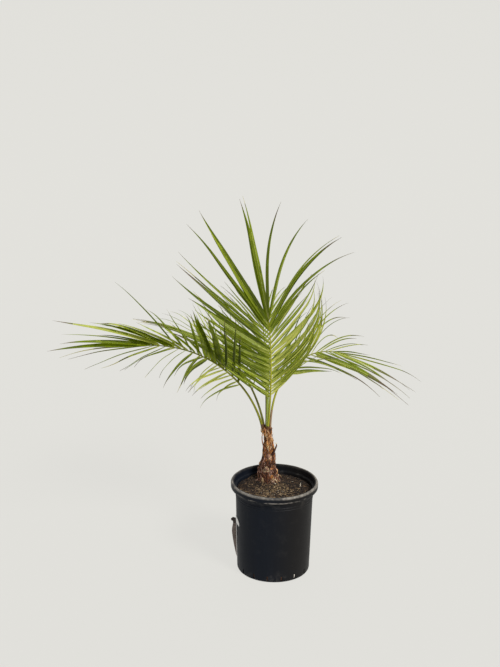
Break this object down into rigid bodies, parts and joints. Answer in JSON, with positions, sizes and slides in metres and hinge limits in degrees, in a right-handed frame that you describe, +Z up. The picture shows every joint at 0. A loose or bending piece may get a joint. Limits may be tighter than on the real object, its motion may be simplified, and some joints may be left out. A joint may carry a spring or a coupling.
{
  "type": "potted palm",
  "caption": "Young feather palm in a round nursery pot: arching fronds of narrow leaflets spread from a short shaggy trunk over soil.",
  "frame": {"origin": "centre of the pot's flat underside", "axes": "+Z up the pot's axis, +X to the right and -Y towards the viewer seen from the front"},
  "size_m": [0.9501, 0.649, 1.028],
  "materials": {
    "pot_plastic": "black plastic with a slight sheen, scuffed grey on the rim",
    "soil": "dark damp mix of bark and peat with pale fibres",
    "trunk_fibre": "brown fibrous leaf bases",
    "strip": "dull grey-brown",
    "patch": "matt off-white, blank",
    "leaf": "smooth green leaf with a waxy sheen"
  },
  "bodies": {
    "root": {"pot": "pot_plastic", "soil": "soil", "trunk": "trunk_fibre", "side_strip": "strip", "side_patch": "patch", "spear": "leaf", "frond_front": "leaf", "frond_left": "leaf", "frond_right": "leaf", "frond_back": "leaf", "frond_left_back": "leaf"}
  },
  "joints": []
}
